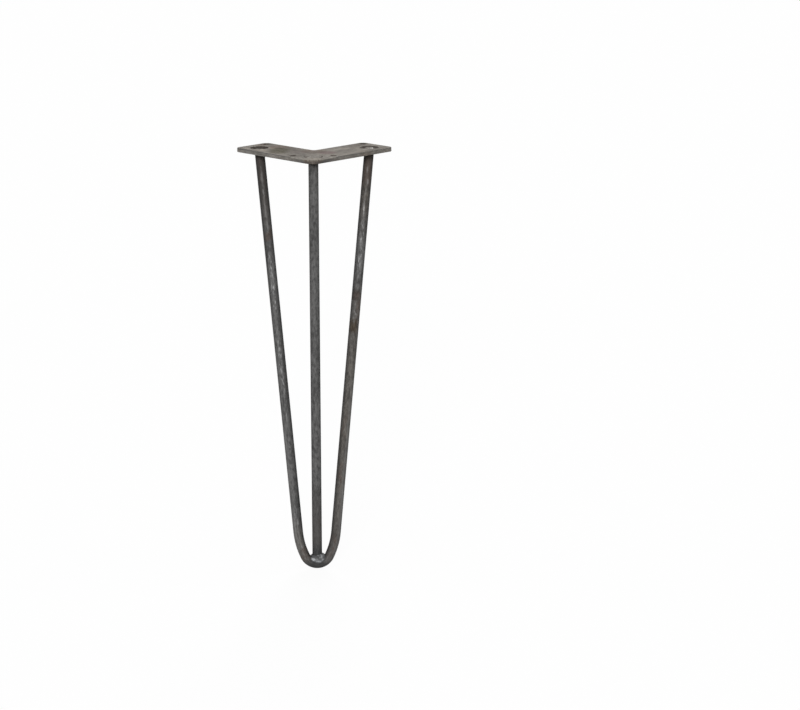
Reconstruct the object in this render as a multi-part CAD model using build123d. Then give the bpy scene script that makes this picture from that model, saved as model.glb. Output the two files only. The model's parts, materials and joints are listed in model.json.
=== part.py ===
from build123d import *
import os
from math import acos, atan2, cos, degrees, hypot, radians, sin, sqrt, tan

# Hairpin table leg: a chevron plate that screws to the underside of a table top, one round
# bar bent into a hairpin, and a straight bar from the plate's corner down into the bend.
# Millimetres. The plate's top face is at Z = 0 and the floor at Z = -leg_height.
# X = 0 is the plane of symmetry, and the plate's outer corner points to -Y.
# The origin is midway between the two screw holes by that corner, on the top face.

# Whole leg
leg_height = 406.0
bar_diameter = 9.5
foot_reach = 30.0            # from the origin forward to the middle of the foot

# Mounting plate, two arms at a right angle
plate_thickness = 4.0
arm_length = 109.5           # outer edge, from its sharp corner to the arm's end
arm_width = 42.5
corner_radius = 9.5          # outer corner of the chevron
notch_radius = 4.0           # inner corner
end_radius = 6.0             # both corners of an arm's end
edge_break = 0.5             # worn upper and lower edges

# Screw holes, one near the corner and one at the far inner corner of each arm
screw_hole_diameter = 6.0
near_hole_along = 34.5       # along the outer edge from its sharp corner
near_hole_inset = 7.5        # from the outer edge
far_hole_from_end = 6.5
far_hole_from_inner_edge = 6.5

# Where the bars enter the plate
bar_inset = 16.5             # from the outer edges
bar_from_end = 17.2          # outer bars, from the arm's end
bar_hole_clearance = 0.25    # round the bar
countersink_margin = 4.5     # countersink's edge, out from the bar
countersink_depth = 2.4
countersink_angle = 90.0
bar_end_depth = 2.0          # bar ends, below the top face
plug_crown_depth = 0.3       # weld's ground crown, below the top face
plug_crown_diameter = 7.0

# Hairpin bend
bend_inside_radius = 8.45    # inside of the tip
bend_half_angle = 64.0       # of the tip's arc, each side
shoulder_radius = 70.0       # bar's centre line, from the tip's arc to the straight bars

# Foot
seat_gap = 0.6               # centre bar's sawn end above the inside of the bend
foot_weld_proud = 2.1        # in front of the bars, and behind them
foot_weld_rise = 1.9         # middle of the weld above the inside of the bend

# Derived places
bar_radius = bar_diameter / 2
bend_radius = bend_inside_radius + bar_radius
countersink_radius = bar_radius + countersink_margin
countersink_floor_radius = countersink_radius - countersink_depth * tan(radians(countersink_angle / 2))
corner_reach = (near_hole_along + near_hole_inset) / sqrt(2)
foot = Vector(0, -foot_reach, bar_radius - leg_height)


def arm_point(side, along, inset):
    """A point of the plate: along an arm's outer edge, then in from it. Side is -1 or 1."""
    across = side * (along - inset) / sqrt(2)
    back = (along + inset) / sqrt(2) - corner_reach
    return Vector(across, back)


def bar_seats():
    """The bars' axes where they cross the plate's top face: left, right and centre."""
    along = arm_length - bar_from_end
    left = arm_point(-1, along, bar_inset)
    right = arm_point(1, along, bar_inset)
    centre = arm_point(1, bar_inset, bar_inset)
    return left, right, centre


left_seat, right_seat, centre_seat = bar_seats()


def hairpin_path():
    """The hairpin's centre line: straight bar, shoulder, tip, shoulder, straight bar."""
    rise = -foot.Z
    run = right_seat.Y - foot.Y
    length = hypot(rise, run)
    leaning = Plane(foot, x_dir=(1, 0, 0), z_dir=(0, -rise / length, run / length))
    tip_turn = radians(bend_half_angle)
    offset = shoulder_radius - bend_radius
    shoulder_x = -offset * sin(tip_turn)
    shoulder_y = bend_radius + offset * cos(tip_turn)
    # The straight bar is the tangent from the seat to the shoulder's circle.
    to_seat_x = right_seat.X - shoulder_x
    to_seat_y = length - shoulder_y
    touch = atan2(to_seat_y, to_seat_x) - acos(shoulder_radius / hypot(to_seat_x, to_seat_y))
    touch_x = shoulder_x + shoulder_radius * cos(touch)
    touch_y = shoulder_y + shoulder_radius * sin(touch)
    shoulder_turn = 90 - bend_half_angle + degrees(touch)
    up = Vector(-sin(touch), cos(touch))
    top = Vector(right_seat.X, length) + up * bar_diameter
    bar_down = Line((-top.X, top.Y), (-touch_x, touch_y))
    shoulder_in = JernArc(bar_down @ 1, bar_down % 1, shoulder_radius, shoulder_turn)
    tip = JernArc(shoulder_in @ 1, shoulder_in % 1, bend_radius, 2 * bend_half_angle)
    shoulder_out = JernArc(tip @ 1, tip % 1, shoulder_radius, shoulder_turn)
    bar_up = Line(shoulder_out @ 1, top)
    return leaning * Curve([bar_down, shoulder_in, tip, shoulder_out, bar_up])


def below(shape, depth):
    """What lies under a level cut at a depth below the plate's top face."""
    return split(shape, bisect_by=Plane.XY.offset(-depth), keep=Keep.BOTTOM)


def round_bar(start, direction, length, radius):
    from_start = (Align.CENTER, Align.CENTER, Align.MIN)
    return Plane(start, z_dir=direction) * Cylinder(radius, length, align=from_start)


def hairpin_rod(path):
    section = Plane(path @ 0, z_dir=path % 0) * Circle(bar_radius)
    return below(sweep(section, path=path), bar_end_depth)


def centre_rod(hairpin):
    """Sawn off just above the bend, with its two sides ground to sit between the bend's walls."""
    axis = centre_seat - foot
    start = foot + axis.normalized() * (bar_radius + seat_gap)
    return below(round_bar(start, axis, axis.length, bar_radius), bar_end_depth) - hairpin


def mounting_plate(bar_axes):
    corners = [
        arm_point(1, 0, 0),
        arm_point(1, arm_length, 0),
        arm_point(1, arm_length, arm_width),
        arm_point(1, arm_width, arm_width),
        arm_point(-1, arm_length, arm_width),
        arm_point(-1, arm_length, 0),
    ]
    radii = [corner_radius, end_radius, end_radius, notch_radius, end_radius, end_radius]
    outline = make_face(FilletPolyline(*corners, radius=radii, close=True))
    plate = extrude(outline, -plate_thickness)
    rims = plate.faces().sort_by(Axis.Z)
    plate = chamfer(rims[0].edges() + rims[-1].edges(), edge_break)
    # Drills reach well past both faces.
    drill_length = 4 * plate_thickness
    for side in (-1, 1):
        near = arm_point(side, near_hole_along, near_hole_inset)
        far = arm_point(side, arm_length - far_hole_from_end, arm_width - far_hole_from_inner_edge)
        for place in (near, far):
            plate -= Pos(place) * Cylinder(screw_hole_diameter / 2, drill_length)
    for seat, direction in bar_axes:
        start = seat - direction * drill_length / 2
        plate -= round_bar(start, direction, drill_length, bar_radius + bar_hole_clearance)
        plate -= Pos(seat) * countersink()
    return plate


def countersink():
    return Cone(
        countersink_floor_radius,
        countersink_radius,
        countersink_depth,
        align=(Align.CENTER, Align.CENTER, Align.MAX),
    )


def plug_weld(seat, bar):
    """Weld over a bar's end, on the countersink's floor. It has a flat crown and a groove round it."""
    mound = Cone(
        countersink_floor_radius,
        plug_crown_diameter / 2,
        countersink_depth - plug_crown_depth,
        align=(Align.CENTER, Align.CENTER, Align.MAX),
    )
    return Pos(seat) * Pos(0, 0, -plug_crown_depth) * mound - bar


def foot_weld(hairpin):
    """A nugget round the centre bar's end. It fills the bend and stands proud at front and back."""
    axis = (centre_seat - foot).normalized()
    middle = foot + axis * (bar_radius + foot_weld_rise)
    nugget = Pos(middle) * Sphere(bar_radius + foot_weld_proud)
    return nugget - round_bar(foot, axis, leg_height, bar_radius) - hairpin


path = hairpin_path()
hairpin = hairpin_rod(path)
centre = centre_rod(hairpin)
left_axis = (left_seat, -(path % 0))
right_axis = (right_seat, path % 1)
centre_axis = (centre_seat, (centre_seat - foot).normalized())

parts = {
    "mounting_plate": mounting_plate([left_axis, right_axis, centre_axis]),
    "hairpin_rod": hairpin,
    "centre_rod": centre,
    "left_plug_weld": plug_weld(left_seat, hairpin),
    "right_plug_weld": plug_weld(right_seat, hairpin),
    "centre_plug_weld": plug_weld(centre_seat, centre),
    "foot_weld": foot_weld(hairpin),
}

os.makedirs("parts", exist_ok=True)
for name, shape in parts.items():
    export_step(shape, f"parts/{name}.step")
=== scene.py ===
import json
from math import acos, atan2, cos, hypot, pi, radians, sin, sqrt

import bmesh
import bpy
from mathutils import Matrix, Vector, noise


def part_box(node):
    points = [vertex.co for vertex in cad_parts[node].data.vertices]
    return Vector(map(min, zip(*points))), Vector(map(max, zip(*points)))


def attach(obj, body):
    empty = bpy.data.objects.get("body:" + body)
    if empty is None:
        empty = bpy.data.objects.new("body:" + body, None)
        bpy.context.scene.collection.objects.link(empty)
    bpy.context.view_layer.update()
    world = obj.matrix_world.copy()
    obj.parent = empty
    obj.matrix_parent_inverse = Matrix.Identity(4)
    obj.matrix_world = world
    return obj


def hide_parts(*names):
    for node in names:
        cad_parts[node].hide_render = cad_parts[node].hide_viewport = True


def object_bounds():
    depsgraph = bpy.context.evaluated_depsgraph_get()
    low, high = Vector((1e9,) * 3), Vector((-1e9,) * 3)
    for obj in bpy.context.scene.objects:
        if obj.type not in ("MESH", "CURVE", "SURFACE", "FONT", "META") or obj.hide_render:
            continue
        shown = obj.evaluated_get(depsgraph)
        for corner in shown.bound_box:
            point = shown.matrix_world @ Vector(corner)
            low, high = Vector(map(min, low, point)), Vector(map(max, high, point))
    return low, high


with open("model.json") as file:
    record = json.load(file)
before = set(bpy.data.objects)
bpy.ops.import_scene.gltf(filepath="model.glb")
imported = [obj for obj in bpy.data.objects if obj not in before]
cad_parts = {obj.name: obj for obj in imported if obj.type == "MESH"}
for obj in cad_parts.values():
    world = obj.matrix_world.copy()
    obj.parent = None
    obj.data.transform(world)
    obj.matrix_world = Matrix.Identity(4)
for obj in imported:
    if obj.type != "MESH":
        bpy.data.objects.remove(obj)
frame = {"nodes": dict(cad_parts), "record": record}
cadBox = [list(corner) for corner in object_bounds()]
floorHeight = cadBox[0][2]
millimetres = 1000                  # to the metre
tiny = 1e-6                         # shorter lengths count as none
print("frame loaded:", len(frame["nodes"]), "nodes")


# small helpers for meshes

def placeMesh(bm, name, material):
    mesh = bpy.data.meshes.new(name)
    bm.to_mesh(mesh)
    bm.free()
    mesh.materials.append(material)
    made = bpy.data.objects.new(name, mesh)
    bpy.context.scene.collection.objects.link(made)
    return made


def finishPiece(bm, name, slotName, material, *nodeNames):
    piece = placeMesh(bm, name, material)
    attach(piece, "root")
    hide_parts(*nodeNames)
    print("made", name, "with", len(piece.data.polygons), "faces")


def nodeMiddle(nodeName):
    low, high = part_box(nodeName)
    return (low + high) / 2


def pushRing(bm, ring, matrix):
    # extrudes a ring of edges and moves the new ring
    grown = bmesh.ops.extrude_edge_only(bm, edges=ring)["geom"]
    newVerts = [item for item in grown if isinstance(item, bmesh.types.BMVert)]
    bmesh.ops.transform(bm, matrix=matrix, verts=newVerts)
    fresh = set(newVerts)
    edges = {edge for vert in newVerts for edge in vert.link_edges}
    return newVerts, [edge for edge in edges if fresh.issuperset(edge.verts)]


# small helpers for shader nodes

def feed(tree, socket, value):
    if isinstance(value, bpy.types.NodeSocket):
        tree.links.new(value, socket)
    else:
        socket.default_value = value


def addNode(tree, kind, inputs=None, **settings):
    made = tree.nodes.new(kind)
    for name, value in settings.items():
        setattr(made, name, value)
    for key, value in (inputs or {}).items():
        feed(tree, made.inputs[key], value)
    return made


def maths(tree, operation, *terms):
    return addNode(tree, "ShaderNodeMath", dict(enumerate(terms)), operation=operation).outputs[0]


def product(tree, first, *others):
    for other in others:
        first = maths(tree, "MULTIPLY", first, other)
    return first


def gapFrom(tree, value, middle):
    return maths(tree, "ABSOLUTE", maths(tree, "SUBTRACT", value, middle))


def vectorMaths(tree, operation, *terms, output="Vector"):
    made = addNode(tree, "ShaderNodeVectorMath", dict(enumerate(terms)), operation=operation)
    return made.outputs[output]


def inMillimetres(tree, coord):
    return vectorMaths(tree, "MULTIPLY", coord, (millimetres, millimetres, millimetres))


def stretched(tree, vector, scale=(1, 1, 1), offset=(0, 0, 0), turn=(0, 0, 0)):
    inputs = {"Vector": vector, "Location": offset, "Rotation": turn, "Scale": scale}
    return addNode(tree, "ShaderNodeMapping", inputs).outputs[0]


def grain(tree, vector, scale, detail=4.0, roughness=0.55, distortion=0.0):
    inputs = {
        "Vector": vector,
        "Scale": scale,
        "Detail": detail,
        "Roughness": roughness,
        "Distortion": distortion,
    }
    return addNode(tree, "ShaderNodeTexNoise", inputs).outputs[0]


def pattern(tree, vector, scale, offset, *values):
    # grain on a stretched and shifted place
    return grain(tree, stretched(tree, vector, scale, offset), *values)


def fade(tree, value, start, end, low=0.0, high=1.0):
    # smooth step from low at start to high at end
    inputs = {"Value": value, "From Min": start, "From Max": end, "To Min": low, "To Max": high}
    return addNode(tree, "ShaderNodeMapRange", inputs, interpolation_type="SMOOTHSTEP").outputs[0]


def mixColour(tree, factor, first, second, blend="MIX"):
    # a colour mix has its sockets behind those for numbers and vectors
    inputs = {0: factor, 6: first, 7: second}
    return addNode(tree, "ShaderNodeMix", inputs, data_type="RGBA", blend_type=blend).outputs[2]


def newGroup(name, inputs, outputs):
    tree = bpy.data.node_groups.new(name, "ShaderNodeTree")
    for label, kind in inputs.items():
        tree.interface.new_socket(label, in_out="INPUT", socket_type="NodeSocket" + kind)
    for label, kind in outputs.items():
        tree.interface.new_socket(label, in_out="OUTPUT", socket_type="NodeSocket" + kind)
    return tree, tree.nodes.new("NodeGroupInput"), tree.nodes.new("NodeGroupOutput")


def placeGroup(tree, group, inputs):
    return addNode(tree, "ShaderNodeGroup", inputs, node_tree=group).outputs


def newMaterial(name, **sockets):
    material = bpy.data.materials.new(name)
    material.use_nodes = True
    tree = material.node_tree
    shader = tree.nodes["Principled BSDF"]
    for label, value in sockets.items():
        shader.inputs[label.replace("_", " ")].default_value = value
    return material, tree, shader


def grey(level, warmth=0.0):
    return (level * (1 + warmth), level, level * (1 - warmth), 1.0)


# finishes that several pieces share, all in millimetres

bumpDepth = 0.0002                  # in metres
midGrain = 0.5                      # middle value of a grain

scaleLook = {                       # grains: scale, detail and roughness
    "blotch": (0.1, 4, 0.6),
    "blotchShare": 0.3,
    "speckle": (0.5, 5, 0.7),
    "speckleShare": 0.7,
    "tone": (0.38, 0.62),           # grain that is dark, and grain that is light
    "rub": (0.75, 6, 0.68),
    "rubShift": (31, 17, 53),
    "wornFrom": (-0.36, 0.72),      # grain where the wear starts: times the wear, plus
    "wornSoft": 0.2,
    "wornShare": 0.85,
    "speckleHeight": 0.8,
    "wornDepth": 0.3,
}


def makeMillScale():
    given = {
        "Vector": "Vector",
        "Drawn": "Vector",
        "Dark": "Color",
        "Light": "Color",
        "Bare": "Color",
        "Wear": "Float",
    }
    made = {"Colour": "Color", "Wear": "Float", "Height": "Float"}
    tree, source, result = newGroup("millScale", given, made)
    vector, drawn, dark, light, bare, wear = [source.outputs[label] for label in given]
    blotch = grain(tree, vector, *scaleLook["blotch"])
    speckle = grain(tree, vector, *scaleLook["speckle"])
    rub = grain(tree, stretched(tree, drawn, offset=scaleLook["rubShift"]), *scaleLook["rub"])
    blotchTone = product(tree, blotch, scaleLook["blotchShare"])
    speckleTone = product(tree, speckle, scaleLook["speckleShare"])
    tone = maths(tree, "ADD", blotchTone, speckleTone)
    colour = mixColour(tree, fade(tree, tone, *scaleLook["tone"]), dark, light)
    wornFrom = maths(tree, "MULTIPLY_ADD", wear, *scaleLook["wornFrom"])
    worn = fade(tree, rub, wornFrom, maths(tree, "ADD", wornFrom, scaleLook["wornSoft"]))
    colour = mixColour(tree, product(tree, worn, scaleLook["wornShare"]), colour, bare)
    standing = product(tree, speckle, scaleLook["speckleHeight"])
    lost = product(tree, worn, scaleLook["wornDepth"])
    feed(tree, result.inputs["Colour"], colour)
    feed(tree, result.inputs["Wear"], worn)
    feed(tree, result.inputs["Height"], maths(tree, "SUBTRACT", standing, lost))
    return tree


rustLook = {                        # grains: scale, detail, roughness and distortion
    "spread": (0.17, 7, 0.62, 0.5),
    "spreadShift": (7, 41, 23),
    "spreadFrom": (-0.42, 0.7),     # grain where the rust starts: times the amount, plus
    "spreadSoft": 0.22,
    "amount": (0.0, 0.5),           # none, and enough for the full mask
    "speck": (1.3, 4, 0.6),
    "tone": (0.42, 0.7),            # grain that is deep rust, and grain that is fresh
}


def makeRustBloom():
    given = {"Vector": "Vector", "Amount": "Float", "Deep": "Color", "Fresh": "Color"}
    made = {"Mask": "Float", "Colour": "Color"}
    tree, source, result = newGroup("rustBloom", given, made)
    vector, amount, deep, fresh = [source.outputs[label] for label in given]
    spread = grain(tree, stretched(tree, vector, offset=rustLook["spreadShift"]), *rustLook["spread"])
    speck = grain(tree, vector, *rustLook["speck"])
    spreadFrom = maths(tree, "MULTIPLY_ADD", amount, *rustLook["spreadFrom"])
    mask = fade(tree, spread, spreadFrom, maths(tree, "ADD", spreadFrom, rustLook["spreadSoft"]))
    mask = product(tree, mask, fade(tree, amount, *rustLook["amount"]))
    feed(tree, result.inputs["Mask"], mask)
    colour = mixColour(tree, fade(tree, speck, *rustLook["tone"]), deep, fresh)
    feed(tree, result.inputs["Colour"], colour)
    return tree


scratchLook = {
    "sets": [(0.35, 3.0), (-0.8, 29.0), (1.35, 61.0)],    # turn and shift
    "stretch": (0.02, 0.55, 0.02),
    "grain": (1.0, 3, 0.5),         # scale, detail and roughness
    "width": (0.0, 0.012, 1, 0),
    "patch": (0.06, 2),             # scale and detail
    "patchEdge": (0.5, 0.62),
}


def makeScratches():
    given = {"Vector": "Vector", "Amount": "Float"}
    tree, source, result = newGroup("handlingScratches", given, {"Mask": "Float"})
    vector, amount = [source.outputs[label] for label in given]
    total = 0.0
    for turn, shift in scratchLook["sets"]:
        laid = stretched(tree, vector, scratchLook["stretch"], (shift, shift, shift), (0, 0, turn))
        line = gapFrom(tree, grain(tree, laid, *scratchLook["grain"]), midGrain)
        thin = fade(tree, line, *scratchLook["width"])
        patch = grain(tree, stretched(tree, vector, offset=(shift, 0, 0)), *scratchLook["patch"])
        here = product(tree, thin, fade(tree, patch, *scratchLook["patchEdge"]))
        total = maths(tree, "MAXIMUM", total, here)
    feed(tree, result.inputs["Mask"], product(tree, total, amount))
    return tree


def finishShader(tree, shader, look, colour, bright, height):
    # metallic and roughness go from the first to the second value where the metal is bright
    feed(tree, shader.inputs["Base Color"], colour)
    feed(tree, shader.inputs["Metallic"], fade(tree, bright, 0, 1, *look["metallic"]))
    feed(tree, shader.inputs["Roughness"], fade(tree, bright, 0, 1, *look["roughness"]))
    bumpInputs = {"Strength": look["bump"], "Distance": bumpDepth, "Height": height}
    feed(tree, shader.inputs["Normal"], addNode(tree, "ShaderNodeBump", bumpInputs).outputs[0])


millScale = makeMillScale()
rustBloom = makeRustBloom()
handlingScratches = makeScratches()
print("shared finishes ready")


# bars: one bent hairpin and one straight centre bar

bars = {
    "radius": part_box("centre_rod")[1].x,
    "footReach": 0.030,             # origin forward to the foot
    "tipRadius": 0.0132,            # bar's centre line
    "tipHalfAngle": radians(64),
    "shoulderRadius": 0.070,
    "endDepth": 0.003,              # bar ends under the plate's top
    "seatGap": 0.0006,              # centre bar's end over the bend
    "sides": 48,
    "ringStep": 0.004,
    "bendStep": radians(2.5),
}
foot = Vector((0, -bars["footReach"], floorHeight + bars["radius"]))
rightSeat = nodeMiddle("right_plug_weld").xy.to_3d()
centreSeat = nodeMiddle("centre_plug_weld").xy.to_3d()


def startBar(start, heading, inside, firstPlace):
    # barCoord keeps the place on the straight bar, so streaks follow the bend:
    # x to the inside of the bend, y to the front, z along the bar
    bm = bmesh.new()
    barCoord = bm.verts.layers.float_vector.new("barCoord")
    bmesh.ops.create_circle(bm, segments=bars["sides"], radius=bars["radius"])
    for vert in bm.verts:
        vert[barCoord] = vert.co + Vector((0, 0, firstPlace))
    along = heading.normalized()
    facing = Matrix((inside, along.cross(inside), along)).transposed().to_4x4()
    bmesh.ops.transform(bm, matrix=Matrix.Translation(start) @ facing, verts=bm.verts)
    return bm, barCoord, list(bm.edges)


def growBar(bm, barCoord, ring, matrix, count, advance):
    for _ in range(count):
        newVerts, ring = pushRing(bm, ring, matrix)
        for vert in newVerts:
            vert[barCoord] = vert[barCoord] + Vector((0, 0, advance))
    return ring


def growStraight(bm, barCoord, ring, move):
    count = max(1, round(move.length / bars["ringStep"]))
    return growBar(bm, barCoord, ring, Matrix.Translation(move / count), count, move.length / count)


def growBend(bm, barCoord, ring, middle, axis, angle, radius):
    count = max(1, round(angle / bars["bendStep"]))
    turn = Matrix.Rotation(angle / count, 4, axis)
    matrix = Matrix.Translation(middle) @ turn @ Matrix.Translation(-middle)
    return growBar(bm, barCoord, ring, matrix, count, radius * angle / count)


def closeBar(bm):
    bmesh.ops.holes_fill(bm, edges=list(bm.edges), sides=bars["sides"])
    bmesh.ops.recalc_face_normals(bm, faces=list(bm.faces))
    for face in bm.faces:
        face.smooth = len(face.verts) == 4


def buildHairpin(material):
    rise = rightSeat - foot
    up = Vector((0, rise.y, rise.z)).normalized()
    across = Vector((1, 0, 0))
    facing = across.cross(up)
    length = hypot(rise.y, rise.z)
    tip, shoulder = bars["tipRadius"], bars["shoulderRadius"]
    offset = shoulder - tip
    middleAcross = offset * sin(bars["tipHalfAngle"])
    middleUp = tip + offset * cos(bars["tipHalfAngle"])
    toSeat = (rise.x + middleAcross, length - middleUp)
    touch = atan2(toSeat[1], toSeat[0]) - acos(shoulder / hypot(*toSeat))
    touchAcross = shoulder * cos(touch) - middleAcross
    touchUp = middleUp + shoulder * sin(touch)
    shoulderAngle = pi / 2 - bars["tipHalfAngle"] + touch

    def place(x, y):
        return foot + across * x + up * y

    barDown = place(-touchAcross, touchUp) - place(-rise.x, length)
    barUp = place(rise.x, length) - place(touchAcross, touchUp)
    buried = bars["endDepth"] * length / rise.z
    barDown -= barDown.normalized() * buried
    barUp -= barUp.normalized() * buried
    start = place(-touchAcross, touchUp) - barDown
    halfLength = barDown.length + shoulder * shoulderAngle + tip * bars["tipHalfAngle"]
    inside = facing.cross(barDown).normalized()
    bm, barCoord, ring = startBar(start, barDown, inside, -halfLength)
    ring = growStraight(bm, barCoord, ring, barDown)
    ring = growBend(bm, barCoord, ring, place(middleAcross, middleUp), facing, shoulderAngle, shoulder)
    ring = growBend(bm, barCoord, ring, place(0, tip), facing, 2 * bars["tipHalfAngle"], tip)
    ring = growBend(bm, barCoord, ring, place(-middleAcross, middleUp), facing, shoulderAngle, shoulder)
    growStraight(bm, barCoord, ring, barUp)
    closeBar(bm)
    finishPiece(bm, "hairpinBar", "bar_steel", material, "hairpin_rod")


def buildCentreBar(material):
    axis = (centreSeat - foot).normalized()
    start = foot + axis * (bars["radius"] + bars["seatGap"])
    end = centreSeat - axis * bars["endDepth"]
    bm, barCoord, ring = startBar(end, start - end, Vector((1, 0, 0)), -(start - end).length)
    growStraight(bm, barCoord, ring, start - end)
    closeBar(bm)
    finishPiece(bm, "centreBar", "bar_steel", material, "centre_rod")


barFinish = {
    "dark": grey(0.052, 0.015),
    "light": grey(0.127, 0.012),
    "bare": grey(0.192, 0.015),
    "innerShade": grey(0.03, 0.02),  # painted shade on the inside of the bend
    "outerShade": grey(0.036, 0.02),
    "deepRust": (0.066, 0.05, 0.044, 1),
    "freshRust": (0.122, 0.093, 0.076, 1),
    "rustShare": 0.8,
    "heatTint": (0.06, 0.05, 0.044, 1),
    "film": (1.0, 0.93, 0.84, 1),    # thin brown film, multiplies the steel's colour
    "yellowStain": (0.71, 0.61, 0.49, 1),    # stains multiply it too
    "redStain": (0.7, 0.58, 0.54, 1),
    "soot": grey(0.034, -0.05),
    "glint": grey(0.3, 0.0),         # painted highlight: bright flecks along the bar's ridge
    "ridgePlace": -0.2,              # across the bar
    "paintedFleck": grey(0.24, 0.02),   # painted highlights: single bright flecks
    "everywhere": {"wear": 0.24, "rust": 0.06, "lines": 0.3, "glint": 0.1},    # outside the zones
    "zoneCore": 0.3,                 # share of a zone at full strength
    "scaleStretch": (1, 1, 0.42),
    "drawnStretch": (1, 1, 0.16),
    "specular": 0.06,
    "metallic": (0.05, 0.35),
    "roughness": (0.62, 0.45),
    "bump": 0.25,
}
barPatterns = {                      # stretch, shift, scale, detail and roughness
    "lines": ((1, 1, 0.03), (19, 5, 3), 0.8, 3, 0.6),
    "flecks": ((1, 1, 0.22), (11, 3, 7), 0.95, 3, 0.65),
}
barRanges = {                        # a fade's start and end, then its values there
    "wornFront": (-2.0, 4.0, 0.5, 1),
    "fleckFront": (0, 2),
    "fleckEdge": (0.2, 1.0),
    "glintGrain": (0.5, 0.66),
    "ridge": (0.8, 2.8, 1, 0),
    "innerHalf": (-3.4, -1.2, 0.35, 1),
    "outerRub": (-0.8, -2.6),
    "outerLightLines": (0.35, 0.6, 0.5, 1),
    "sides": (1.0, 3.6, 0.68, 1),    # painted shade: the bar is darker on its sides
    "inside": (0.8, 4.4),
    "outside": (-0.6, -4.2),
}


def makeBarSteel(name, zones, inner):
    # zones hold (distance from the foot, half length, strength) in millimetres,
    # and on the hairpin the left bar's distances are negative
    material, tree, shader = newMaterial(name, Specular_IOR_Level=barFinish["specular"])
    coord = addNode(tree, "ShaderNodeAttribute", attribute_name="barCoord").outputs["Vector"]
    place = inMillimetres(tree, coord)
    axes = addNode(tree, "ShaderNodeSeparateXYZ", {0: place}).outputs

    def within(value, key, *ends):
        return fade(tree, value, *barRanges[key], *ends)

    def zoneMask(kind):
        total = barFinish["everywhere"].get(kind, 0.0)
        for middle, half, strength in zones.get(kind, []):
            core = half * barFinish["zoneCore"]
            here = fade(tree, gapFrom(tree, axes["Z"], middle), core, half, strength, 0)
            total = maths(tree, "MAXIMUM", total, here)
        return total

    def frontFleckHighlights(fray):
        # painted highlight flecks one by one: across, distance, half width, half length and strength
        total = 0.0
        for across, middle, halfWidth, halfLength, strength in zones.get("flecks", []):
            offset = vectorMaths(tree, "SUBTRACT", place, (across, 0, middle))
            offset = vectorMaths(tree, "MULTIPLY", offset, (1 / halfWidth, 0, 1 / halfLength))
            away = vectorMaths(tree, "LENGTH", offset, output="Value")
            away = maths(tree, "ADD", away, maths(tree, "SUBTRACT", midGrain, fray))
            total = maths(tree, "MAXIMUM", total, within(away, "fleckEdge", strength, 0))
        return product(tree, total, within(axes["Y"], "fleckFront"))

    streaked = stretched(tree, place, barFinish["scaleStretch"])
    scaleInputs = {
        "Vector": streaked,
        "Drawn": stretched(tree, place, barFinish["drawnStretch"]),
        "Dark": barFinish["dark"],
        "Light": barFinish["light"],
        "Bare": barFinish["bare"],
        "Wear": product(tree, zoneMask("wear"), within(axes["Y"], "wornFront")),
    }
    scale = placeGroup(tree, millScale, scaleInputs)
    drawnLines = pattern(tree, place, *barPatterns["lines"])
    lineTone = maths(tree, "SUBTRACT", drawnLines, midGrain)
    lineTone = maths(tree, "MULTIPLY_ADD", lineTone, zoneMask("lines"), 1)
    colour = vectorMaths(tree, "MULTIPLY", scale["Colour"], lineTone)
    colour = mixColour(tree, zoneMask("film"), colour, barFinish["film"], "MULTIPLY")
    colour = mixColour(tree, zoneMask("heat"), colour, barFinish["heatTint"])
    rustInputs = {
        "Vector": streaked,
        "Amount": zoneMask("rust"),
        "Deep": barFinish["deepRust"],
        "Fresh": barFinish["freshRust"],
    }
    bloom = placeGroup(tree, rustBloom, rustInputs)
    rusted = product(tree, bloom["Mask"], barFinish["rustShare"])
    colour = mixColour(tree, rusted, colour, bloom["Colour"])
    innerHalf = within(axes["X"], "innerHalf")
    for tint in ("yellowStain", "redStain"):
        stained = product(tree, zoneMask(tint), innerHalf)
        colour = mixColour(tree, stained, colour, barFinish[tint], "MULTIPLY")
    # weld soot with painted shade, darker near the foot and under the plate
    colour = mixColour(tree, zoneMask("soot"), colour, barFinish["soot"])

    # painted highlights: bright flecks along the ridge and single flecks on the front; painted light on
    # the outside
    highlightFleckGrain = pattern(tree, place, *barPatterns["flecks"])
    ridge = within(gapFrom(tree, axes["X"], barFinish["ridgePlace"]), "ridge")
    glint = product(tree, within(highlightFleckGrain, "glintGrain"), ridge, zoneMask("glint"))
    colour = mixColour(tree, glint, colour, barFinish["glint"])
    colour = mixColour(tree, frontFleckHighlights(highlightFleckGrain), colour, barFinish["paintedFleck"])
    outerRub = product(
        tree,
        zoneMask("outerRub"),
        within(axes["X"], "outerRub"),
        within(drawnLines, "outerLightLines"),
    )
    colour = mixColour(tree, outerRub, colour, barFinish["bare"])

    # painted shade: darker on the sides, on the inside of the bend and along stretches of the outside
    sides = within(maths(tree, "ABSOLUTE", axes["Y"]), "sides")
    colour = vectorMaths(tree, "MULTIPLY", colour, sides)
    colour = mixColour(tree, within(axes["X"], "inside", 0, inner), colour, barFinish["innerShade"])
    paintedOuterShade = product(tree, zoneMask("dull"), within(axes["X"], "outside"))
    colour = mixColour(tree, paintedOuterShade, colour, barFinish["outerShade"])
    clean = maths(tree, "SUBTRACT", scale["Wear"], bloom["Mask"])
    finishShader(tree, shader, barFinish, colour, clean, scale["Height"])
    return material


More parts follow.
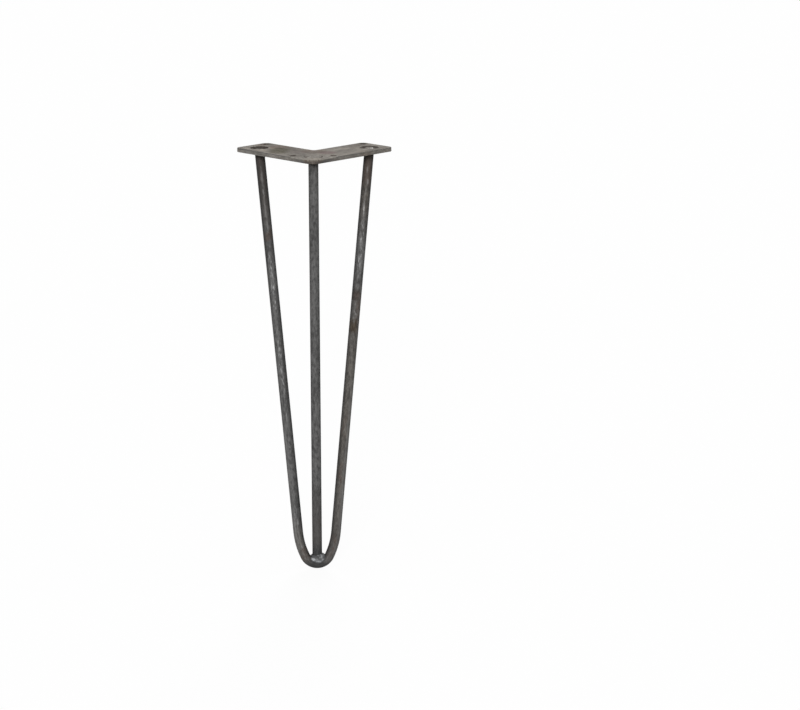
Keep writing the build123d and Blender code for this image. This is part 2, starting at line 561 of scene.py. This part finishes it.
hairpinZones = {
    "wear": [
        (-370, 40, 0.3), (-296, 36, 0.72), (-216, 44, 0.66), (-150, 70, 0.46), (-24, 16, 0.5),
        (22, 12, 0.5), (205, 40, 0.42), (310, 36, 0.74), (362, 28, 0.56), (388, 9, 0.66),
    ],
    "rust": [
        (-402, 40, 0.7), (-333, 9, 0.9), (-17, 22, 0.6), (28, 30, 0.5), (110, 80, 0.52),
        (256, 44, 0.5), (406, 40, 1.0),
    ],
    "yellowStain": [(244, 9.5, 1.0)],
    "redStain": [(274, 7, 1.0)],
    "film": [(-400, 72, 0.7), (-20, 40, 0.6), (150, 170, 0.9), (395, 75, 1.0)],
    # glint and flecks are painted highlights
    "glint": [
        (-372, 40, 0.2), (-292, 46, 1.0), (-205, 50, 0.6), (-40, 40, 0.5), (254, 12, 0.3),
        (328, 50, 0.8),
    ],
    "flecks": [
        (0.0, -389, 1.4, 14, 0.35), (0.0, -375, 1.1, 5, 0.5), (0.0, -366, 1.2, 11, 0.25),
        (0.1, -355, 1.5, 9, 0.25), (0.4, -343, 1.4, 8, 0.25),
        (0.2, 397, 1.2, 4, 0.4), (-1.1, 384.5, 1.6, 4.5, 0.75), (-0.2, 376, 1.0, 6, 0.3),
        (0.5, 362, 1.4, 11, 0.45), (0.1, 343, 1.5, 8, 0.3),
        (0.6, 265.5, 1.0, 1.8, 0.3), (0.8, 258.5, 0.9, 1.8, 0.3), (-1.0, 255.3, 1.1, 2.2, 0.5),
        (1.0, 251.8, 0.9, 2.2, 0.4),
    ],
    # painted light on the outside of the bars
    "outerRub": [(-90, 100, 0.36), (100, 120, 0.48)],
    "lines": [(-38, 60, 2.4), (34, 60, 1.7)],
    "heat": [(-416, 90, 0.72), (416, 40, 0.65), (20, 60, 0.3)],
    "soot": [(-410, 80, 0.38), (0, 14, 0.75)],
    # painted shade on the outside of the bend
    "dull": [(-400, 210, 0.85), (395, 150, 0.6)],
}
centreZones = {
    "wear": [(-330, 60, 0.28)],
    "rust": [(-40, 40, 0.35)],
    "heat": [(-395, 9, 0.7), (-15, 70, 0.45)],
    "soot": [(0, 24, 0.8), (-30, 50, 0.3)],
}
buildHairpin(makeBarSteel("hairpinSteel", hairpinZones, inner=0.6))
buildCentreBar(makeBarSteel("centreSteel", centreZones, inner=0.0))


# mounting plate: a chevron with screw holes and countersunk bar holes

plate = {
    "thickness": -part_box("mounting_plate")[0].z,
    "armLength": 0.1095,
    "armWidth": 0.0425,
    "cornerReach": 0.0297,          # origin forward to the sharp outer corner
    "cornerRadius": 0.0095,
    "notchRadius": 0.004,
    "endRadius": 0.006,
    "countersinkRadius": 0.00925,
    "countersinkFloor": 0.00685,
    "countersinkDepth": 0.0024,
    "barHoleRadius": 0.005,
    "edgeRound": 0.00045,
    "edgeSteps": 3,
    "arcSteps": 12,
    "holeSides": 64,
    "flatAngle": radians(0.5),      # edges under this are dissolved
    "rimAngle": radians(30),        # edges over this are rounded
    "levelNormal": 0.999,           # faces from here on are shaded flat
}


def armPoint(side, along, inset):
    across = side * (along - inset) / sqrt(2)
    return Vector((across, (along + inset) / sqrt(2) - plate["cornerReach"], 0))


def screwHoles():
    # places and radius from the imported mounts
    found = []
    for mount in frame["record"]["mounts"]:
        if mount["kind"] == "bolt_pattern":
            half = Vector((mount["dims"]["spacing_x_mm"] / millimetres / 2, 0, 0))
            radius = mount["dims"]["hole_r_mm"] / millimetres
            middle = Vector(mount["pos_m"])
            found += [(mount["name"], middle + side * half, radius) for side in (-1, 1)]
    return found


def barSeats():
    leftSeat = Vector((-rightSeat.x, rightSeat.y, 0))
    return {"left": leftSeat, "right": rightSeat, "centre": centreSeat}


def addHoleRing(bm, middle, radius):
    made = bmesh.ops.create_circle(
        bm, segments=plate["holeSides"], radius=radius, matrix=Matrix.Translation(middle)
    )
    return list({edge for vert in made["verts"] for edge in vert.link_edges})


def scaleAbout(middle, factor, drop):
    shrink = Matrix.Diagonal((factor, factor, 1, 1))
    down = Matrix.Translation((0, 0, -drop))
    return Matrix.Translation(middle) @ down @ shrink @ Matrix.Translation(-middle)


def onPlateFace(edge):
    heights = [vert.co.z for vert in edge.verts]
    atTop = min(heights) > -tiny
    return atTop or max(heights) < tiny - plate["thickness"]


def buildPlate(material):
    length, width = plate["armLength"], plate["armWidth"]
    bm = bmesh.new()
    spots = [
        (armPoint(1, 0, 0), plate["cornerRadius"]),
        (armPoint(1, length, 0), plate["endRadius"]),
        (armPoint(1, length, width), plate["endRadius"]),
        (armPoint(1, width, width), plate["notchRadius"]),
        (armPoint(-1, length, width), plate["endRadius"]),
        (armPoint(-1, length, 0), plate["endRadius"]),
    ]
    corners = [bm.verts.new(spot) for spot, radius in spots]
    bm.faces.new(corners)
    for vert, (spot, radius) in zip(corners, spots):
        bmesh.ops.bevel(
            bm, geom=[vert], offset=radius, affect="VERTICES",
            segments=plate["arcSteps"], profile=0.5, material=-1,
        )
    bmesh.ops.delete(bm, geom=list(bm.faces), context="FACES_ONLY")
    outline = list(bm.edges)
    seats = barSeats().values()
    holeRings = [addHoleRing(bm, middle, radius) for name, middle, radius in screwHoles()]
    seatRings = [addHoleRing(bm, seat, plate["countersinkRadius"]) for seat in seats]
    bmesh.ops.triangle_fill(bm, use_beauty=True, edges=list(bm.edges), normal=(0, 0, 1))
    drop = Matrix.Translation((0, 0, -plate["thickness"]))
    for ring in [outline, *holeRings]:
        pushRing(bm, ring, drop)
    floorShare = plate["countersinkFloor"] / plate["countersinkRadius"]
    holeShare = plate["barHoleRadius"] / plate["countersinkFloor"]
    rest = plate["thickness"] - plate["countersinkDepth"]
    for seat, ring in zip(seats, seatRings):
        ring = pushRing(bm, ring, scaleAbout(seat, floorShare, plate["countersinkDepth"]))[1]
        ring = pushRing(bm, ring, scaleAbout(seat, holeShare, 0))[1]
        pushRing(bm, ring, Matrix.Translation((0, 0, -rest)))
    underside = [edge for edge in bm.edges if edge.is_boundary]
    bmesh.ops.triangle_fill(bm, use_beauty=True, edges=underside)
    bmesh.ops.recalc_face_normals(bm, faces=list(bm.faces))
    flat = [edge for edge in bm.edges if edge.calc_face_angle(0) < plate["flatAngle"]]
    bmesh.ops.dissolve_limit(bm, angle_limit=plate["flatAngle"], edges=flat)
    rims = [edge for edge in bm.edges if onPlateFace(edge)]
    rims = [edge for edge in rims if edge.calc_face_angle(0) > plate["rimAngle"]]
    bmesh.ops.bevel(
        bm, geom=rims, offset=plate["edgeRound"], affect="EDGES",
        segments=plate["edgeSteps"], profile=0.5, material=-1,
    )
    bmesh.ops.recalc_face_normals(bm, faces=list(bm.faces))
    for face in bm.faces:
        face.smooth = abs(face.normal.z) < plate["levelNormal"]
    finishPiece(bm, "mountingPlate", "plate_steel", material, "mounting_plate")


plateFinish = {
    "dark": (0.133, 0.12, 0.105, 1),
    "light": (0.204, 0.187, 0.166, 1),
    "bare": (0.3, 0.285, 0.262, 1),
    "wear": 0.24,
    "scratches": 0.5,
    "scratchDepth": 0.6,
    "soot": (0.034, 0.027, 0.022, 1),
    "edgeShade": grey(0.073, 0.03),
    "cornerHeat": (0.088, 0.07, 0.056, 1),
    "holeShade": {"corner_screw_holes": 0.65, "arm_end_screw_holes": 1.0},
    "seatSootAndShade": {"left": 0.9, "right": 0.78, "centre": 0.55},
    "sootShadeReach": 0.5,               # past the hole's edge
    "sootShadeSoft": 0.3,
    "olive": (0.53, 0.52, 0.42, 1),  # tints multiply the steel's colour
    "rose": (0.85, 0.72, 0.76, 1),
    "brown": (0.7, 0.61, 0.56, 1),
    "rust": (0.62, 0.45, 0.36, 1),
    # painted shade round the screw holes
    "shade": (0.56, 0.54, 0.5, 1),
    "dull": (0.76, 0.75, 0.74, 1),
    "pale": (1.5, 1.46, 1.4, 1),
    "cutSteel": (1.24, 1.28, 1.33, 1),
    "stainSoft": 0.5,               # share of a stain's reach that fades
    "stainLeast": 0.75,             # share of its strength where it is ragged
    "stainsAndShade": [                     # stains and painted shade: x, y, reach, tint and strength, in millimetres
        (-34, 21, 12, "olive", 1.0),
        (-33, 34, 13, "olive", 1.0),
        (-33, 50, 15, "brown", 1.0),
        (-22, 36, 17, "dull", 1.0),
        (-14, 20, 11, "rose", 0.3),
        (-52, 66, 8, "brown", 1.0),
        (-48, 72, 9, "shade", 1.0),
        (-41, 69, 7, "shade", 1.0),
        (13, 16, 11, "rose", 1.0),
        (13, 16, 9, "dull", 0.5),
        (40, 62, 12, "brown", 0.3),
        (46, 70, 7, "shade", 1.0),
        (0, 25, 16, "brown", 0.75),
        (0, 6, 16, "dull", 0.3),
        (-43, 27, 8, "dull", 1.0),
        (-24, 23, 8, "dull", 0.5),
        (-27, 41, 15, "dull", 0.65),
        (36, 10, 9, "dull", 0.4),
        (68, 49, 7, "dull", 0.4),
        (-19, -1, 6, "shade", 0.6),
        (50, 21, 10, "rust", 0.35),
        (0, -24, 13, "pale", 0.9),
        (-41, 46, 6, "pale", 0.8),
        (-52, 33, 9, "pale", 0.5),
        (65, 42, 10, "pale", 0.1),
        (41, 44, 6, "pale", 0.6),
        (-62, 44, 10, "pale", 0.3),
        (30, 40, 9, "pale", 0.3),
    ],
    "scaleStretch": (0.34, 1, 0.2),
    "drawnStretch": (0.064, 0.32, 0.043),
    "outerBlend": 16,               # outline's corners are rounded off by these
    "endBlend": 10,
    "rimFray": 2.4,
    "specular": 0.1,
    "metallic": (0.03, 0.25),
    "roughness": (0.65, 0.5),
    "bump": 0.3,
}
platePatterns = {                   # stretch, shift, scale, detail and roughness
    "clouds": ((0.03, 0.075, 0.03), (5, 9, 2), 1.0, 4, 0.6),
    "streaks": ((0.018, 0.4, 0.02), (3, 8, 6), 1.0, 4, 0.6),
    "ragged": ((1, 1, 1), (0, 0, 0), 0.2, 4),
    "cutWave": ((0.16, 0.2, 0.05), (0, 0, 0), 1.0, 4),
    "cutLines": ((0.75, 0.75, 0.12), (0, 0, 0), 1.0, 2),
}
plateRanges = {                     # a fade's start and end, then its values there
    "clouds": (0.34, 0.66, 0.74, 1.2),
    "streaks": (0.34, 0.66, 0.86, 1.12),
    "stainGrain": (0.3, 0.55),
    "cornerAcross": (14, 26, 1, 0),
    "cornerBack": (0, 10, 1, 0),
    "rim": (0.2, 1.6, 1, 0),
    "rimTop": (-0.9, -0.2),
    "rimStrength": (0, 1, 0.1, 0.6),
    "crease": (0.4, 1.1, 1, 0),
    "creaseTop": (-1.2, -0.7),
    "creaseCorner": (0, 0.5, 1, 0),
    "creaseLeft": (-70, -52, 0.85, 0.5),
    "cutEdge": (0.0, 0.35, 1, 0),
    "paleLeft": (-62, -32, 1.0, 0.45),
    "paleCorner": (0, 0.6, 1, 0),
    "paleEnds": (64, 71, 1, 0.3),
    "lowerRim": (-2.7, -3.5),
    "lowerLeft": (-48, -34, 0.45, 0),
    "bandTop": (-0.9, -1.7),
    "bandWave": (0.35, 0.62, 0.75, 1),
    "bandAcross": (11, 26, 1.0, 0.05),
    "bandBack": (12, 22, 1, 0),
    "heatAcross": (6, 11, 0.9, 0),
    "heatLines": (0.4, 0.58, 0.35, 1),
    "holeDepth": (-0.05, -0.25),
}


def makePlateSteel():
    material, tree, shader = newMaterial("plateSteel", Specular_IOR_Level=plateFinish["specular"])
    place = inMillimetres(tree, addNode(tree, "ShaderNodeTexCoord").outputs["Object"])
    flatPlace = vectorMaths(tree, "MULTIPLY", place, (1, 1, 0))
    axes = addNode(tree, "ShaderNodeSeparateXYZ", {0: place}).outputs

    def within(value, key, *ends):
        return fade(tree, value, *plateRanges[key], *ends)

    def nearness(x, y, reach, soft):
        away = vectorMaths(tree, "DISTANCE", flatPlace, (x, y, 0), output="Value")
        return fade(tree, away, reach - soft, reach, 1, 0)

    # along each arm, in from its outer edge, and in from the whole outline
    back = maths(tree, "ADD", axes["Y"], plate["cornerReach"] * millimetres)
    right = product(tree, maths(tree, "ADD", back, axes["X"]), sqrt(0.5))
    left = product(tree, maths(tree, "SUBTRACT", back, axes["X"]), sqrt(0.5))
    along = maths(tree, "MAXIMUM", right, left)
    inset = maths(tree, "MINIMUM", right, left)
    fromInner = maths(tree, "SUBTRACT", plate["armWidth"] * millimetres, inset)
    fromEnd = maths(tree, "SUBTRACT", plate["armLength"] * millimetres, along)
    outer = maths(tree, "SMOOTH_MIN", right, left, plateFinish["outerBlend"])
    inner = maths(tree, "SMOOTH_MIN", fromInner, fromEnd, plateFinish["endBlend"])
    inward = maths(tree, "MINIMUM", outer, inner)

    # the drawn pattern runs on over the rim and down the cut edge
    rolled = maths(tree, "ADD", inset, axes["Z"])
    drawnAxes = {"X": along, "Y": rolled, "Z": axes["X"]}
    drawn = addNode(tree, "ShaderNodeCombineXYZ", drawnAxes).outputs[0]
    scaleInputs = {
        "Vector": stretched(tree, drawn, plateFinish["scaleStretch"]),
        "Drawn": stretched(tree, drawn, plateFinish["drawnStretch"]),
        "Dark": plateFinish["dark"],
        "Light": plateFinish["light"],
        "Bare": plateFinish["bare"],
        "Wear": plateFinish["wear"],
    }
    scale = placeGroup(tree, millScale, scaleInputs)
    clouds = within(pattern(tree, drawn, *platePatterns["clouds"]), "clouds")
    streaks = within(pattern(tree, drawn, *platePatterns["streaks"]), "streaks")
    tone = product(tree, clouds, streaks)
    colour = vectorMaths(tree, "MULTIPLY", scale["Colour"], tone)
    ragged = pattern(tree, place, *platePatterns["ragged"])
    for x, y, reach, tint, strength in plateFinish["stainsAndShade"]:
        mask = nearness(x, y, reach, reach * plateFinish["stainSoft"])
        uneven = within(ragged, "stainGrain", strength * plateFinish["stainLeast"], strength)
        mask = product(tree, mask, uneven)
        colour = mixColour(tree, mask, colour, plateFinish[tint], "MULTIPLY")

    # the rim is rubbed bright at the corner; along the arms a painted shade line darkens it
    fromMiddle = maths(tree, "ABSOLUTE", axes["X"])
    cornerBack = within(axes["Y"], "cornerBack")
    corner = product(tree, within(fromMiddle, "cornerAcross"), cornerBack)
    fray = maths(tree, "SUBTRACT", ragged, midGrain)
    frayed = maths(tree, "MULTIPLY_ADD", fray, plateFinish["rimFray"], inward)
    rim = product(
        tree,
        within(frayed, "rim"),
        within(axes["Z"], "rimTop"),
        within(corner, "rimStrength"),
    )
    colour = mixColour(tree, rim, colour, plateFinish["bare"])
    # painted shade in the crease along the top rim of the arms
    crease = product(
        tree,
        within(inward, "crease"),
        within(axes["Z"], "creaseTop"),
        within(corner, "creaseCorner"),
        within(axes["X"], "creaseLeft"),
    )

    # the cut edge is darker towards the corner, and the corner itself is heat marked
    cutEdge = within(inward, "cutEdge")
    cutPale = product(
        tree,
        cutEdge,
        within(axes["X"], "paleLeft"),
        within(corner, "paleCorner"),
        within(fromMiddle, "paleEnds"),
    )
    colour = mixColour(tree, cutPale, colour, plateFinish["cutSteel"], "MULTIPLY")
    colour = mixColour(tree, crease, colour, plateFinish["edgeShade"])
    lowerRim = product(tree, cutEdge, within(axes["Z"], "lowerRim"), within(axes["X"], "lowerLeft"))
    colour = mixColour(tree, lowerRim, colour, plateFinish["bare"])
    cutWave = pattern(tree, drawn, *platePatterns["cutWave"])
    band = product(
        tree,
        cutEdge,
        within(axes["Z"], "bandTop"),
        within(cutWave, "bandWave"),
        within(fromMiddle, "bandAcross"),
        within(axes["Y"], "bandBack"),
    )
    colour = mixColour(tree, band, colour, plateFinish["edgeShade"])
    cutLines = pattern(tree, place, *platePatterns["cutLines"])
    heat = product(
        tree,
        cutEdge,
        within(fromMiddle, "heatAcross"),
        cornerBack,
        within(cutLines, "heatLines"),
    )
    colour = mixColour(tree, heat, colour, plateFinish["cornerHeat"])

    # painted shade down in the holes, with weld soot in the countersinks
    holes = []
    for side, seat in barSeats().items():
        holes.append((seat, plate["countersinkRadius"], plateFinish["seatSootAndShade"][side]))
    for name, middle, radius in screwHoles():
        holes.append((middle, radius, plateFinish["holeShade"][name]))
    deep = within(axes["Z"], "holeDepth")
    for middle, radius, strength in holes:
        middle = middle * millimetres
        reach = radius * millimetres + plateFinish["sootShadeReach"]
        mask = nearness(middle.x, middle.y, reach, plateFinish["sootShadeSoft"])
        colour = mixColour(tree, product(tree, mask, deep, strength), colour, plateFinish["soot"])

    scratchInputs = {"Vector": place, "Amount": plateFinish["scratches"]}
    scratches = placeGroup(tree, handlingScratches, scratchInputs)["Mask"]
    colour = mixColour(tree, scratches, colour, plateFinish["bare"])
    bright = maths(tree, "MAXIMUM", scale["Wear"], scratches)
    cut = product(tree, scratches, plateFinish["scratchDepth"])
    height = maths(tree, "SUBTRACT", scale["Height"], cut)
    finishShader(tree, shader, plateFinish, colour, bright, height)
    return material


buildPlate(makePlateSteel())


# welds

footMetal = {
    "dark": grey(0.045, -0.01),
    "light": grey(0.42, -0.03),
    "speckled": 0.24,
    "specular": 0.255,
    "metallic": (0.2975, 0.85),
    "roughness": (0.62, 0.348),
    "bump": 0.3,
}
plugMetal = {
    "dark": (0.058, 0.05, 0.044, 1),
    "light": (0.225, 0.207, 0.183, 1),
    "speckled": 1.0,
    "specular": 0.06,
    "metallic": (0.07, 0.2),
    "roughness": (0.62, 0.556),
    "bump": 0.3,
}
weldLook = {
    "speckle": (1.1, 4, 0.6),       # scale, detail and roughness
    "clean": (-0.35, 0.45),         # levels that are dark and light
    "rubbed": (0.7, 1.4),           # levels that are light and bare
    "bare": grey(0.5, 0.0),
}


def lumpiness(place, lumps):
    return sum(depth * noise.noise(place / spacing) for spacing, depth in lumps)


def makeWeldMetal(name, metal):
    material, tree, shader = newMaterial(name, Specular_IOR_Level=metal["specular"])
    # the weld's clean level, with painted highlights and shade
    rise = addNode(tree, "ShaderNodeAttribute", attribute_name="weldCleanAndPaintedLight").outputs["Fac"]
    place = inMillimetres(tree, addNode(tree, "ShaderNodeTexCoord").outputs["Object"])
    speckle = grain(tree, place, *weldLook["speckle"])
    level = maths(tree, "SUBTRACT", speckle, midGrain)
    level = maths(tree, "MULTIPLY_ADD", level, metal["speckled"], rise)
    clean = fade(tree, level, *weldLook["clean"])
    colour = mixColour(tree, clean, metal["dark"], metal["light"])
    colour = mixColour(tree, fade(tree, level, *weldLook["rubbed"]), colour, weldLook["bare"])
    finishShader(tree, shader, metal, colour, clean, speckle)
    return material


footWeld = {
    "halfSize": (0.0082, 0.0074, 0.0053),
    "across": 0.0008,               # its middle, right of the centre bar
    "height": 0.0107,               # its middle above the floor
    "tilt": radians(-5),            # the right side is higher
    "level": -0.11,                 # how clean its metal is
    "relief": 0.4,                  # more on its lumps
    "paintedLightPatches": [                    # painted highlights and shade: across, up, reach and how much lighter
        (-0.7, 0.04, 0.42, 0.95),
        (-0.7, 0.55, 0.5, -0.4),
        (0.05, -0.32, 0.34, 0.4),
        (0.46, 0.6, 0.45, 0.28),
        (0.0, 0.9, 0.3, 0.35),
        (0.25, 0.12, 0.4, -0.12),
        (0.62, -0.1, 0.25, 0.2),
    ],
    "lumps": [(0.0060, 0.00040), (0.0026, 0.00016), (0.0012, 0.00003)],   # spacing and depth
    "ripple": (0.0021, 0.00005),    # spacing and depth of the pool's rings
    "ringMiddle": (-0.006, -0.003),  # across and up
    "ringWaver": 3,                 # lumps bend the rings
    "detail": 6,
}


def buildFootWeld(material):
    lean = (centreSeat.y - foot.y) / (centreSeat.z - foot.z)
    lift = footWeld["height"] - bars["radius"]
    middle = foot + Vector((footWeld["across"], lift * lean, lift))
    bm = bmesh.new()
    weldCleanAndPaintedLight = bm.verts.layers.float.new("weldCleanAndPaintedLight")
    bmesh.ops.create_icosphere(bm, subdivisions=footWeld["detail"], radius=1)
    halfSize = footWeld["halfSize"]
    bmesh.ops.scale(bm, vec=halfSize, verts=bm.verts)
    bm.normal_update()
    spacing, depth = footWeld["ripple"]
    ringAcross, ringUp = footWeld["ringMiddle"]
    deepest = sum(lump[1] for lump in footWeld["lumps"])
    moves = []
    for vert in bm.verts:
        rise = lumpiness(vert.co, footWeld["lumps"])
        ring = hypot(vert.co.x - ringAcross, vert.co.z - ringUp) + footWeld["ringWaver"] * rise
        rise += depth * sin(2 * pi * ring / spacing)
        across, up = vert.co.x / halfSize[0], vert.co.z / halfSize[2]
        clean = footWeld["level"] + footWeld["relief"] * rise / deepest
        for patchAcross, patchUp, reach, cleaner in footWeld["paintedLightPatches"]:
            clean += cleaner * max(0, 1 - hypot(across - patchAcross, up - patchUp) / reach)
        moves.append((vert, vert.normal * rise, clean))
    for vert, move, clean in moves:
        vert.co += move
        vert[weldCleanAndPaintedLight] = clean
    tilt = Matrix.Rotation(footWeld["tilt"], 3, "Y")
    bmesh.ops.rotate(bm, cent=(0, 0, 0), matrix=tilt, verts=bm.verts)
    bmesh.ops.translate(bm, vec=middle, verts=bm.verts)
    bmesh.ops.recalc_face_normals(bm, faces=list(bm.faces))
    for face in bm.faces:
        face.smooth = True
    finishPiece(bm, "footWeld", "weld_metal", material, "foot_weld")


plugWeld = {
    "floorRadius": plate["countersinkFloor"],
    "floorDepth": plate["countersinkDepth"],
    "crownShare": {"left": 0.42, "right": 0.4, "centre": 0.66},        # of the weld's radius
    "crownDepth": {"left": 0.0014, "right": 0.0002, "centre": 0.0002},
    "fill": {"left": 0.0, "right": 0.97, "centre": 0.97},              # up the countersink at the front
    "fillBack": {"left": 0.0, "right": 0.0, "centre": 1.0},            # of that, at the back
    "fillNarrow": {"left": 2, "right": 4, "centre": 2},
    "fillWiden": {"left": 1.0, "right": 1.3, "centre": 2.4},
    "clean": {"left": -0.1, "right": 0.2, "centre": 0.2},              # bright metal on the crown
    "speck": {"left": 0.0, "right": 2.0, "centre": 0.0},               # a painted highlight spot
    "highlightPlace": (0.0022, -0.0042, 0.0028),                           # its middle and reach
    "rings": 22,
    "turns": 96,
    "ripple": (0.0011, 0.00007),
    "ringWaver": 2,
    "lumps": [(0.0030, 0.00026), (0.0013, 0.0001)],
    "lumpShift": 3,                 # of the lumps with the weld's place
    "relief": 0.0004,               # rise that is one level cleaner
    "clearance": 0.0001,            # under the plate's top
    "smoothFrom": -0.2,             # faces that look further down are flat
}


def buildPlugWeld(side, seat, material):
    floorRadius, floorDepth = plugWeld["floorRadius"], plugWeld["floorDepth"]
    crownShare, top = plugWeld["crownShare"][side], -plugWeld["crownDepth"][side]
    bm = bmesh.new()
    weldCleanAndPaintedLight = bm.verts.layers.float.new("weldCleanAndPaintedLight")
    verts = [bm.verts.new(spot) for spot in ((0, 0, 0), (1, 0, 0), (0, 0, -1))]
    edges = [bm.edges.new(pair) for pair in zip(verts, verts[1:])]
    bmesh.ops.subdivide_edges(bm, edges=edges[:1], cuts=plugWeld["rings"])
    bmesh.ops.spin(
        bm, geom=[*bm.verts, *bm.edges], cent=(0, 0, 0), axis=(0, 0, 1),
        angle=2 * pi, steps=plugWeld["turns"], use_merge=True,
    )
    bmesh.ops.remove_doubles(bm, verts=list(bm.verts), dist=tiny)
    spacing, depth = plugWeld["ripple"]
    highlightX, highlightY, highlightReach = plugWeld["highlightPlace"]
    for vert in bm.verts:
        # the unit disc is laid in the countersink, filled up its slope where the weld ran over
        share = hypot(vert.co.x, vert.co.y)
        if vert.co.z < -tiny:
            vert.co.z = -floorDepth
            continue
        facing = abs(vert.co.y) / share if share > tiny else 0
        spread = min(1, facing * plugWeld["fillWiden"][side]) ** plugWeld["fillNarrow"][side]
        spread *= plugWeld["fillBack"][side] if vert.co.y > 0 else 1
        climb = plugWeld["fill"][side] * spread * floorDepth
        slope = max(0, (share - crownShare) / (1 - crownShare))
        fall = slope * slope * (3 - 2 * slope)
        place = vert.co * (floorRadius + climb)
        rise = lumpiness(place + seat * plugWeld["lumpShift"], plugWeld["lumps"])
        ring = place.length + plugWeld["ringWaver"] * rise
        rise += depth * sin(2 * pi * ring / spacing)
        clean = rise / plugWeld["relief"] + plugWeld["clean"][side]
        # darker down the slope into the countersink: oxide, with painted shade in the groove
        clean -= fall * (1 - climb / floorDepth)
        fromHighlight = hypot(place.x - highlightX, place.y - highlightY)
        vert[weldCleanAndPaintedLight] = clean + plugWeld["speck"][side] * max(0, 1 - fromHighlight / highlightReach)
        height = top + (climb - floorDepth - top) * fall + rise * (1 - fall)
        vert.co = (place.x, place.y, min(height, -plugWeld["clearance"]))
    bmesh.ops.translate(bm, vec=seat, verts=bm.verts)
    bmesh.ops.recalc_face_normals(bm, faces=list(bm.faces))
    for face in bm.faces:
        face.smooth = face.normal.z > plugWeld["smoothFrom"]
    finishPiece(bm, side + "PlugWeld", "weld_metal", material, side + "_plug_weld")


buildFootWeld(makeWeldMetal("footWeldMetal", footMetal))
plugMaterial = makeWeldMetal("plugWeldMetal", plugMetal)
for side, seat in barSeats().items():
    buildPlugWeld(side, seat, plugMaterial)


# floor, light and camera

studio = {
    "white": (1, 1, 1, 1),
    "floorSize": 40.0,
    "floorColour": (0.32, 0.32, 0.32, 1),
    "floorGlow": 1.135,             # white that the camera sees
    "floorGlowShare": 0.82,         # the rest takes light and shadow
    "ambient": 0.09,
    "lamps": [                      # name, direction, soft angle, strength and highlights
        ("keyLamp", (-0.12, -1.0, 0.37), radians(18), 2.65, True),
        ("topLamp", (0.0, -0.1, 1.0), radians(34), 0.62, True),
        ("backLamp", (0.1, 1.0, 0.4), radians(30), 3.0, False),
        ("rightLamp", (1.0, 0.1, 0.45), radians(40), 0.7, False),
        ("leftLamp", (-1.0, 0.1, 0.45), radians(40), 0.5, False),
    ],
}


def seenDirectly(tree):
    path = addNode(tree, "ShaderNodeLightPath").outputs
    seen = maths(tree, "MAXIMUM", path["Is Camera Ray"], path["Is Glossy Ray"])
    return maths(tree, "MAXIMUM", seen, path["Is Transmission Ray"])


def makeWorld():
    world = bpy.data.worlds.new("studio")
    world.use_nodes = True
    bpy.context.scene.world = world
    tree = world.node_tree
    tree.nodes.clear()
    strength = fade(tree, seenDirectly(tree), 0, 1, studio["ambient"], 1)
    lightInputs = {"Color": studio["white"], "Strength": strength}
    light = addNode(tree, "ShaderNodeBackground", lightInputs)
    addNode(tree, "ShaderNodeOutputWorld", {"Surface": light.outputs[0]})


def makeFloorPaper():
    material, tree, shader = newMaterial("floorPaper", Roughness=0.9, Specular_IOR_Level=0.0)
    shader.inputs["Base Color"].default_value = studio["floorColour"]
    glowInputs = {"Color": studio["white"], "Strength": studio["floorGlow"]}
    glow = addNode(tree, "ShaderNodeEmission", glowInputs).outputs[0]
    share = product(tree, seenDirectly(tree), studio["floorGlowShare"])
    mixed = addNode(tree, "ShaderNodeMixShader", {0: share, 1: shader.outputs[0], 2: glow})
    feed(tree, tree.nodes["Material Output"].inputs["Surface"], mixed.outputs[0])
    return material


def makeFloor():
    bm = bmesh.new()
    bmesh.ops.create_grid(bm, x_segments=1, y_segments=1, size=studio["floorSize"] / 2)
    bmesh.ops.translate(bm, vec=(0, 0, floorHeight), verts=bm.verts)
    floor = placeMesh(bm, "floor", makeFloorPaper())


def addLamp(name, place, angle, strength, highlights):
    # far soft lamp, so the floor is lit evenly
    lamp = bpy.data.lights.new(name, "SUN")
    lamp.angle = angle
    lamp.energy = strength
    holder = bpy.data.objects.new(name, lamp)
    holder.location = place
    holder.rotation_euler = Vector(place).to_track_quat("Z", "Y").to_euler()
    holder.visible_glossy = highlights
    bpy.context.scene.collection.objects.link(holder)


makeWorld()
makeFloor()
for lamp in studio["lamps"]:
    addLamp(*lamp)
print("stage and lamps set")

view = {
    "aim": (0.0825, 0.0103, -0.1996),
    "distance": 2.0,
    "pitch": radians(15.1485),
    "swing": radians(-1.2644),
    "focalPixels": 2038.05,
    "imageWidth": 800,
    "sensorWidth": 36,
    "clipEnd": 100,
}


def placeCamera():
    lens = bpy.data.cameras.new("camera")
    lens.sensor_width = view["sensorWidth"]
    lens.sensor_fit = "HORIZONTAL"
    lens.lens = view["focalPixels"] * lens.sensor_width / view["imageWidth"]
    lens.clip_end = view["clipEnd"]
    camera = bpy.data.objects.new("camera", lens)
    turn = Matrix.Rotation(view["swing"], 4, "Z") @ Matrix.Rotation(pi / 2 - view["pitch"], 4, "X")
    back = Matrix.Translation((0, 0, view["distance"]))
    camera.matrix_world = Matrix.Translation(view["aim"]) @ turn @ back
    bpy.context.scene.collection.objects.link(camera)
    bpy.context.scene.camera = camera


placeCamera()
bpy.context.scene.view_settings.view_transform = "Standard"
print("camera placed")
